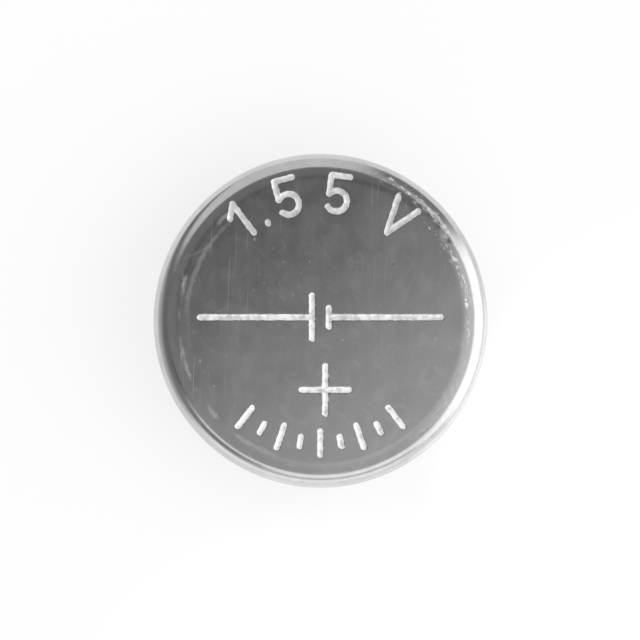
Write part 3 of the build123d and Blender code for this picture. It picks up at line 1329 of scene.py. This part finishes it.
def table():
    """White paper with a share of light of its own, and painted pools of light in it."""
    mesh = bpy.data.meshes.new("table")
    edge = FLOOR_SIDE / 2
    corners = [(-edge, -edge, 0), (edge, -edge, 0), (edge, edge, 0), (-edge, edge, 0)]
    mesh.from_pydata(corners, [], [(0, 1, 2, 3)])
    piece = bpy.data.objects.new("table", mesh)
    bpy.context.scene.collection.objects.link(piece)
    material = bpy.data.materials.new("white paper")
    material.use_nodes = True
    tree = material.node_tree
    tree.nodes.clear()
    rays = put(tree, "ShaderNodeLightPath").outputs
    seen = most(tree, rays["Is Camera Ray"], rays["Is Glossy Ray"], rays["Is Transmission Ray"])
    paper = put(tree, "ShaderNodeBsdfDiffuse", {"Color": grey(PAPER)}).outputs[0]
    place, light = millimetres(tree), 1.0
    # Each painted pool of light adds to the table's own glow.
    for compass, away, pool_reach, extra in painted_pools_of_light:
        centre = (away * math.cos(math.radians(compass)), away * math.sin(math.radians(compass)), 0.0)
        off = vector(tree, "DISTANCE", place, centre)["Value"]
        light = calc(tree, "ADD", fade(tree, off, pool_reach, 2 * pool_reach, extra, 0.0), light)
    glow = put(tree, "ShaderNodeEmission", {"Strength": light}).outputs[0]
    share = times(tree, seen, OWN_LIGHT)
    mixed = put(tree, "ShaderNodeMixShader", {0: share, 1: paper, 2: glow}).outputs[0]
    put(tree, "ShaderNodeOutputMaterial", {"Surface": mixed})
    mesh.materials.append(material)
    return piece


table()

# %% [markdown]
# ## Light
#
# Metal shows what surrounds it more than what lights it. The room is a light tent: a large window
# on the right, pale cloth below, and dark boards that give the round corner its contrast.
# The face mirrors the small patch of sky straight above, which goes from dark to light across the
# opening for the lens. Each board is a patch between two heights and round one direction, and one of
# them leans. The lens itself sees plain white instead of the tent. A soft lamp overhead, which metal
# doesn't show, brings plain surfaces to full light.

# %% Boards of the tent, and its roof
OPEN_WALL = 0.72
ROOF_START = 62.0
ROOF_FULL = 72.0
boards = [
    # what it is, compass direction, half width, lowest, highest, brightness, lean, soft edge, soft side
    ("cloth above", 108, 56, -40, 64, 0.71, 0.0, 5, 8),
    ("cloth below", 270, 62, -40, 62, 1.14, 0.0, 7, 12),
    ("left cloth", 184, 36, -40, 40, 0.56, 0.0, 16, 14),
    ("left board", 184, 31, 27, 95, 0.18, 0.0, 20, 10),
    ("leaning board", 141, 27, -8, 27, 0.20, 1.27, 6, 7),
    ("lower board", 226, 24, 25, 54, 0.26, 0.0, 6, 9),
    ("lower bar", 277, 38, 27, 40, 0.56, 0.0, 4, 9),
    ("fold of the cloth", 314, 12, 7, 23, 0.84, 0.0, 5, 5),
    ("window", 356, 33, -40, 66, 1.62, 0.0, 12, 8),
    ("window's wing", 318, 9, 29, 46, 1.50, 0.0, 6, 6),
    ("right board", 53, 18, -40, 43, 0.22, 0.0, 5, 7),
    ("right board's foot", 62, 11, 43, 66, 0.36, 0.0, 6, 7),
]
roof_boards = [
    ("window's top", 354, 36, 60, 83, 0.76, 0.0, 5, 16),
    ("left shade", 188, 26, 73, 85, 0.23, 0.0, 2, 10),
    ("lower shade", 236, 24, 68, 85.5, 0.36, 0.0, 2, 9),
]
roof_slant = (0.515, -0.857)
roof_fades = [
    # from and to along the slant, brightness before and after
    (-0.060, 0.085, 0.0, 0.68),
    (-0.110, -0.045, 0.19, 0.0),
    (0.060, 0.140, 0.0, -0.23),
]


def swung_from(tree, compass, middle):
    """Degrees from a direction, between -180 and 180."""
    apart = minus(tree, compass, float(middle))
    return put(tree, "ShaderNodeMath", {0: apart, 1: 180.0, 2: -180.0}, operation="WRAP").outputs[0]


def put_board(tree, sky, compass, height, board):
    """Covers part of the sky with one brightness."""
    _, middle, half_width, low, high, level, lean, edge, side_edge = board
    swung = swung_from(tree, compass, middle)
    sideways = calc(tree, "ABSOLUTE", swung)
    across = fade(tree, sideways, half_width - side_edge, half_width + side_edge, 1.0, 0.0)
    leaning = calc(tree, "MULTIPLY_ADD", swung, -lean, height)
    mask = times(tree, across, between(tree, leaning, low, high, edge))
    return put(tree, "ShaderNodeMix", {0: mask, 2: sky, 3: level}).outputs[0]


# %% The tent
def tent():
    """A world whose brightness depends on the direction only, and which the lens sees white."""
    world = bpy.data.worlds.new("tent")
    bpy.context.scene.world = world
    world.use_nodes = True
    tree = world.node_tree
    tree.nodes.clear()
    x, y, z = parts(tree, put(tree, "ShaderNodeTexCoord").outputs["Generated"])
    height = calc(tree, "DEGREES", calc(tree, "ARCSINE", z))
    compass = calc(tree, "DEGREES", calc(tree, "ARCTAN2", y, x))

    walls = OPEN_WALL
    for board in boards:
        walls = put_board(tree, walls, compass, height, board)
    slant = calc(tree, "MULTIPLY_ADD", x, roof_slant[0], times(tree, y, roof_slant[1]))
    roof = 0.0
    for fading in roof_fades:
        roof = calc(tree, "ADD", roof, fade(tree, slant, *fading))
    for board in roof_boards:
        roof = put_board(tree, roof, compass, height, board)
    overhead = fade(tree, height, ROOF_START, ROOF_FULL)
    sky = put(tree, "ShaderNodeMix", {0: overhead, 2: walls, 3: roof}).outputs[0]

    room = put(tree, "ShaderNodeBackground", {"Color": at(tree, sky, sky, sky), "Strength": 1.0}).outputs[0]
    white = put(tree, "ShaderNodeBackground", {"Color": grey(1.0), "Strength": 1.0}).outputs[0]
    lens = put(tree, "ShaderNodeLightPath").outputs["Is Camera Ray"]
    mixed = put(tree, "ShaderNodeMixShader", {0: lens, 1: room, 2: white}).outputs[0]
    put(tree, "ShaderNodeOutputWorld", {"Surface": mixed})
    print(len(boards + roof_boards), "boards in the tent")


tent()

# %% The soft lamp
LAMP_SIDE = 0.5
LAMP_HEIGHT = 0.35
LAMP_POWER = 0.60
lamp_data = bpy.data.lights.new("soft_lamp", "AREA")
lamp_data.shape = "SQUARE"
lamp_data.size = LAMP_SIDE
lamp_data.energy = LAMP_POWER
lamp = bpy.data.objects.new("soft_lamp", lamp_data)
lamp.location = (0, 0, LAMP_HEIGHT)
lamp.visible_glossy = False
lamp.visible_camera = False
bpy.context.scene.collection.objects.link(lamp)
print("lamp of", LAMP_POWER, "W at", LAMP_HEIGHT, "m")

# %% [markdown]
# ## Camera
#
# The lens is a long one and looks straight down, so the wall stays hidden behind the corner. It
# stands a hair off the cell's axis. Its distance sets the scale: the picture is 13 mm wide where the
# cell is widest.

# %% The camera
PICTURE_WIDTH = 13.03
LENS = 200.0
SENSOR = 36.0
SIDEWAYS = -0.010
UPWARDS = 0.016
camera_data = bpy.data.cameras.new("camera")
camera_data.lens = LENS
camera_data.sensor_width = SENSOR
camera_data.clip_start = 0.001
camera_data.clip_end = 10
camera = bpy.data.objects.new("camera", camera_data)
camera.location = (SIDEWAYS * MM, UPWARDS * MM, (PICTURE_WIDTH * LENS / SENSOR + corner_foot) * MM)
bpy.context.scene.collection.objects.link(camera)
bpy.context.scene.camera = camera
bpy.context.scene.view_settings.view_transform = "Standard"
print("camera", round(camera.location.z / MM, 2), "mm above the table")
